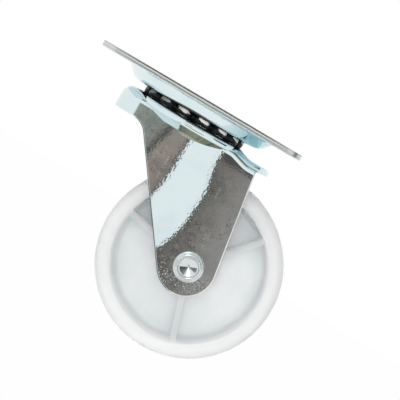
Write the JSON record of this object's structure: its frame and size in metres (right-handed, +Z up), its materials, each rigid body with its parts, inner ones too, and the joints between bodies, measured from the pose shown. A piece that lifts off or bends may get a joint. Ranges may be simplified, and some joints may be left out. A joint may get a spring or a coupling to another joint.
{
  "type": "plate swivel castor",
  "caption": "Plate swivel castor: square plate with a pressed dish, open ball ring, pressed steel fork and a ribbed plastic wheel trailing behind the swivel axis.",
  "frame": {"origin": "centre of the plate's mounting face, on the swivel axis", "axes": "+Z up along the swivel axis, out of the mounting face; +X toward the trailing wheel; +Y along the axle, toward its made head"},
  "size_m": [0.0724, 0.0574, 0.065],
  "materials": {
    "plated_plate": "bright zinc plated",
    "plated_fork": "bright zinc plated",
    "pin_steel": "bright zinc plated",
    "race_steel": "zinc plated",
    "rivet_steel": "bright zinc plated",
    "bush_steel": "plain",
    "ball_steel": "polished, greased",
    "wheel_plastic": "white translucent, moulded"
  },
  "bodies": {
    "plate": {"top_plate": "plated_plate", "kingpin": "pin_steel", "lower_race_cup": "race_steel"},
    "fork": {"fork": "plated_fork", "axle_rivet": "rivet_steel", "axle_bush": "bush_steel"},
    "upper_ring": {"upper_ball_01": "ball_steel", "upper_ball_02": "ball_steel", "upper_ball_03": "ball_steel", "upper_ball_04": "ball_steel", "upper_ball_05": "ball_steel", "upper_ball_06": "ball_steel", "upper_ball_07": "ball_steel", "upper_ball_08": "ball_steel", "upper_ball_09": "ball_steel", "upper_ball_10": "ball_steel", "upper_ball_11": "ball_steel", "upper_ball_12": "ball_steel", "upper_ball_13": "ball_steel", "upper_ball_14": "ball_steel", "upper_ball_15": "ball_steel"},
    "lower_ring": {"lower_ball_01": "ball_steel", "lower_ball_02": "ball_steel", "lower_ball_03": "ball_steel", "lower_ball_04": "ball_steel", "lower_ball_05": "ball_steel", "lower_ball_06": "ball_steel", "lower_ball_07": "ball_steel", "lower_ball_08": "ball_steel", "lower_ball_09": "ball_steel", "lower_ball_10": "ball_steel", "lower_ball_11": "ball_steel", "lower_ball_12": "ball_steel"},
    "wheel": {"wheel": "wheel_plastic"}
  },
  "joints": [
    {"name": "swivel", "type": "hinge", "parent": "plate", "child": "fork", "pos_m": [0, 0, 0], "axis": [0, 0, 1], "continuous": true},
    {"name": "upper_ring_orbit", "type": "hinge", "parent": "plate", "child": "upper_ring", "pos_m": [0, 0, -0.00575], "axis": [0, 0, 1], "continuous": true},
    {"name": "lower_ring_orbit", "type": "hinge", "parent": "plate", "child": "lower_ring", "pos_m": [0, 0, -0.0091], "axis": [0, 0, 1], "continuous": true},
    {"name": "wheel_spin", "type": "hinge", "parent": "fork", "child": "wheel", "pos_m": [0.0187, 0, -0.04], "axis": [0, 1, 0], "continuous": true}
  ],
  "couplings": [
    {"joint": "upper_ring_orbit", "follows": "swivel", "ratio": 0.5},
    {"joint": "lower_ring_orbit", "follows": "swivel", "ratio": 0.5}
  ]
}
